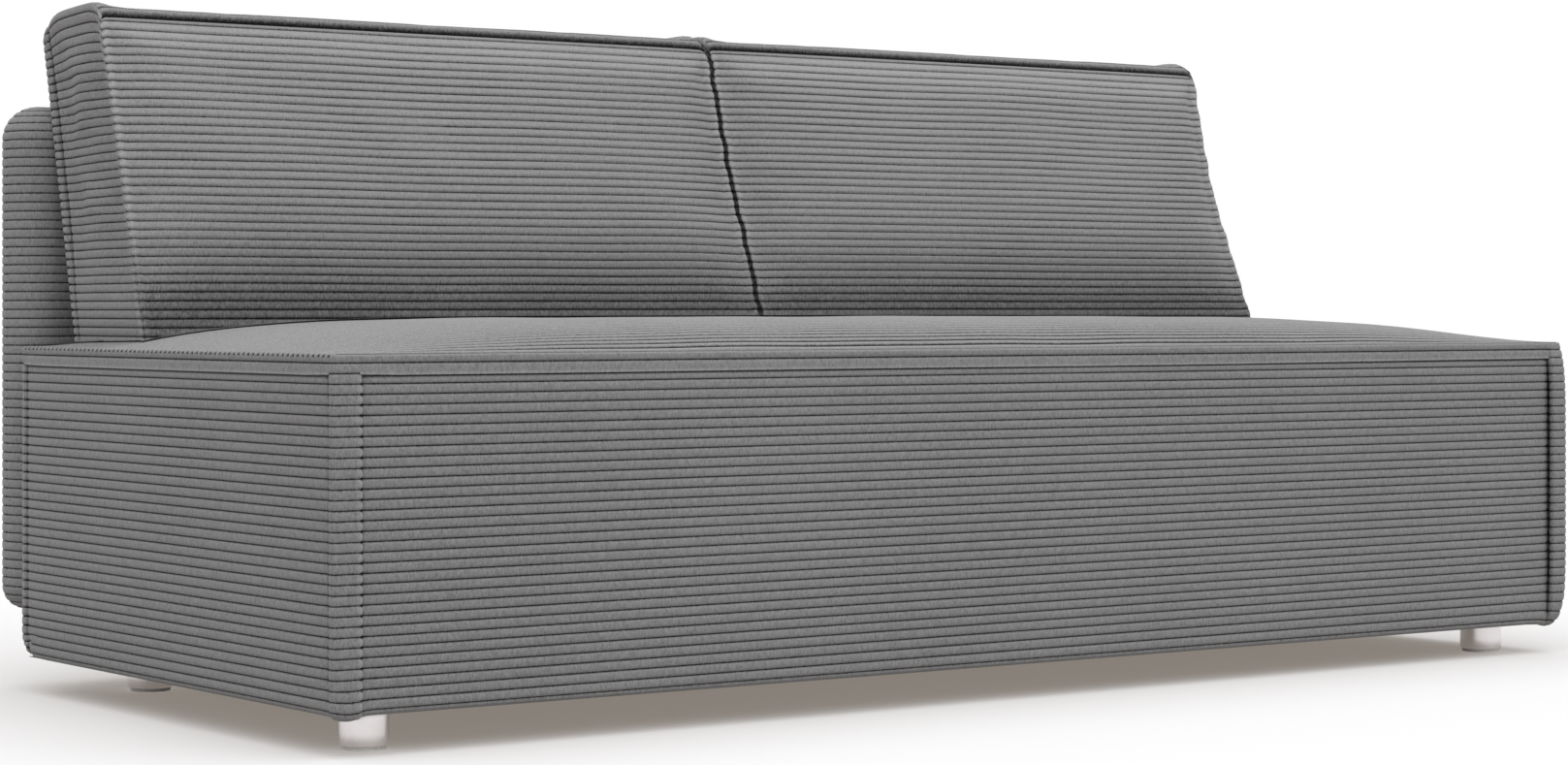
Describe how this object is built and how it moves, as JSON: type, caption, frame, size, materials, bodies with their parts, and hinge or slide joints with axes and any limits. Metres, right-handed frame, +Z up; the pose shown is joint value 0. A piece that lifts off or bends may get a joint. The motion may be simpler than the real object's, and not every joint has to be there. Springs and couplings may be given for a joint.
{
  "type": "armless sofa",
  "caption": "Armless sofa: a padded box seat on round metal feet, with a padded back that folds flat behind the seat and loose boxed back cushions, in ribbed fabric.",
  "frame": {"origin": "On the floor, in the middle of the sofa's bounding box", "axes": "+X to the right as seen from the front, +Y to the back, +Z up"},
  "size_m": [1.95, 0.8926, 0.8347],
  "materials": {
    "ribbed_fabric": "matte",
    "foam": "matte",
    "felt": "matte",
    "plywood": "matte",
    "spring_steel": "satin",
    "foot_metal": "gloss",
    "black_plastic": "matte"
  },
  "bodies": {
    "seat_base": {"front_rail": "plywood", "rear_rail": "plywood", "end_board_left": "plywood", "end_board_right": "plywood", "cross_members": "plywood", "corner_blocks": "plywood", "seat_springs": "spring_steel", "spring_clips": "spring_steel", "seat_felt": "felt", "seat_foam": "foam", "front_pad": "foam", "end_pad_left": "foam", "end_pad_right": "foam", "rear_pads": "foam", "seat_cover": "ribbed_fabric", "front_cover": "ribbed_fabric", "end_cover_left": "ribbed_fabric", "end_cover_right": "ribbed_fabric", "rear_cover": "ribbed_fabric", "underside_cloth": "felt", "foot_front_left": "foot_metal", "foot_front_right": "foot_metal", "foot_rear_left": "foot_metal", "foot_rear_right": "foot_metal", "foot_glides": "black_plastic", "foot_studs": "spring_steel", "foot_inserts": "spring_steel", "lift_tracks": "spring_steel"},
    "carriage": {"track_carriages": "spring_steel"},
    "back": {"pivot_pins": "foot_metal", "pivot_brackets": "spring_steel", "bracket_screws": "spring_steel", "back_low_rail": "plywood", "back_top_rail": "plywood", "back_stiles": "plywood", "back_sheet": "plywood", "back_foam": "foam", "back_cover": "ribbed_fabric", "leg_brackets": "spring_steel", "leg_pins": "foot_metal"},
    "leg": {"support_leg": "spring_steel", "leg_pads": "black_plastic"},
    "cushion_left": {"cushion_left_fill": "foam", "cushion_left_cover": "ribbed_fabric", "cushion_left_zip": "black_plastic"},
    "cushion_right": {"cushion_right_fill": "foam", "cushion_right_cover": "ribbed_fabric", "cushion_right_zip": "black_plastic"}
  },
  "joints": [
    {"name": "carriage_slide", "type": "slide", "parent": "seat_base", "child": "carriage", "axis": [0, 0, 1], "range_m": [0, 0.268]},
    {"name": "back_fold", "type": "hinge", "parent": "carriage", "child": "back", "pos_m": [0, 0.3707, 0.129], "axis": [-1, 0, 0], "range_deg": [0, 90]},
    {"name": "leg_fold", "type": "hinge", "parent": "back", "child": "leg", "pos_m": [0, 0.4403, 0.68], "axis": [1, 0, 0], "range_deg": [0, 90]},
    {"name": "cushion_left_lift", "type": "slide", "parent": "seat_base", "child": "cushion_left", "axis": [0, 0, 1], "range_m": [0, 0.4]},
    {"name": "cushion_right_lift", "type": "slide", "parent": "seat_base", "child": "cushion_right", "axis": [0, 0, 1], "range_m": [0, 0.4]}
  ],
  "couplings": [
    {"joint": "carriage_slide", "follows": "back_fold", "m_per_rad": 0.1706},
    {"joint": "leg_fold", "follows": "back_fold", "ratio": 1}
  ]
}
